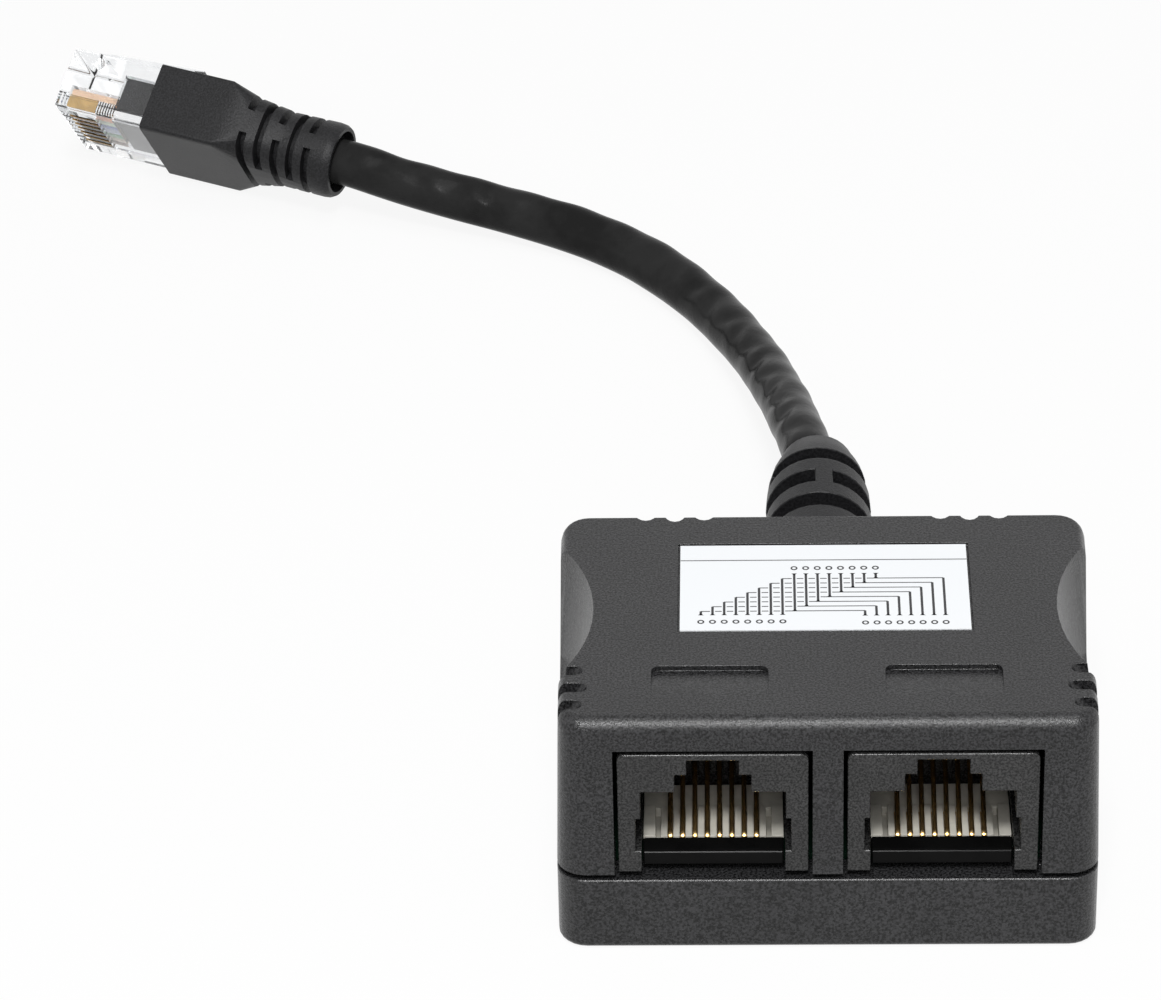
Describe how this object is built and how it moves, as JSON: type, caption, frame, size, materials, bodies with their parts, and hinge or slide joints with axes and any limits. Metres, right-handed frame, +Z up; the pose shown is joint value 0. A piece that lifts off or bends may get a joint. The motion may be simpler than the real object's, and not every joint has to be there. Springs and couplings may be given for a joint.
{
  "type": "rj45 splitter adapter",
  "caption": "Modular jack splitter: a moulded box with jacks side by side and finger scoops, on a short strain-relieved lead that ends in a clear latched plug.",
  "frame": {"origin": "centre of the box's footprint on the table, at the base shell's underside", "axes": "+X along the row of jacks, the jacks' mouths face -Y and the lead leaves towards +Y, +Z up"},
  "size_m": [0.0999, 0.1403, 0.0226],
  "materials": {
    "housing": "fine matt texture",
    "label": "smooth film",
    "board": "solder mask",
    "jack_shell": "moulded satin",
    "jack_bar": "glossy",
    "carrier": "natural moulded",
    "gold": "gold plated",
    "soft_black": "soft matt moulding",
    "jacket": "smooth soft jacket",
    "clear": "clear moulded plastic",
    "core_white_orange": "smooth insulation",
    "core_orange": "smooth insulation",
    "core_white_green": "smooth insulation",
    "core_blue": "smooth insulation",
    "core_white_blue": "smooth insulation",
    "core_green": "smooth insulation",
    "core_white_brown": "smooth insulation",
    "core_brown": "smooth insulation"
  },
  "bodies": {
    "root": {"top_cover": "housing", "base_shell": "housing", "wiring_label": "label", "circuit_board": "board", "left_jack_housing": "jack_shell", "left_jack_bar": "jack_bar", "left_contact_carrier": "carrier", "left_contact_1": "gold", "left_contact_2": "gold", "left_contact_3": "gold", "left_contact_4": "gold", "left_contact_5": "gold", "left_contact_6": "gold", "left_contact_7": "gold", "left_contact_8": "gold", "right_jack_housing": "jack_shell", "right_jack_bar": "jack_bar", "right_contact_carrier": "carrier", "right_contact_1": "gold", "right_contact_2": "gold", "right_contact_3": "gold", "right_contact_4": "gold", "right_contact_5": "gold", "right_contact_6": "gold", "right_contact_7": "gold", "right_contact_8": "gold", "strain_relief": "soft_black", "cable": "jacket", "core_wire_1": "core_white_orange", "core_wire_2": "core_orange", "core_wire_3": "core_white_green", "core_wire_4": "core_blue", "core_wire_5": "core_white_blue", "core_wire_6": "core_green", "core_wire_7": "core_white_brown", "core_wire_8": "core_brown", "plug_boot": "soft_black", "plug_body": "clear", "plug_contact_1": "gold", "plug_contact_2": "gold", "plug_contact_3": "gold", "plug_contact_4": "gold", "plug_contact_5": "gold", "plug_contact_6": "gold", "plug_contact_7": "gold", "plug_contact_8": "gold", "plug_wire_1": "core_white_orange", "plug_wire_2": "core_orange", "plug_wire_3": "core_white_green", "plug_wire_4": "core_blue", "plug_wire_5": "core_white_blue", "plug_wire_6": "core_green", "plug_wire_7": "core_white_brown", "plug_wire_8": "core_brown"}
  },
  "joints": []
}
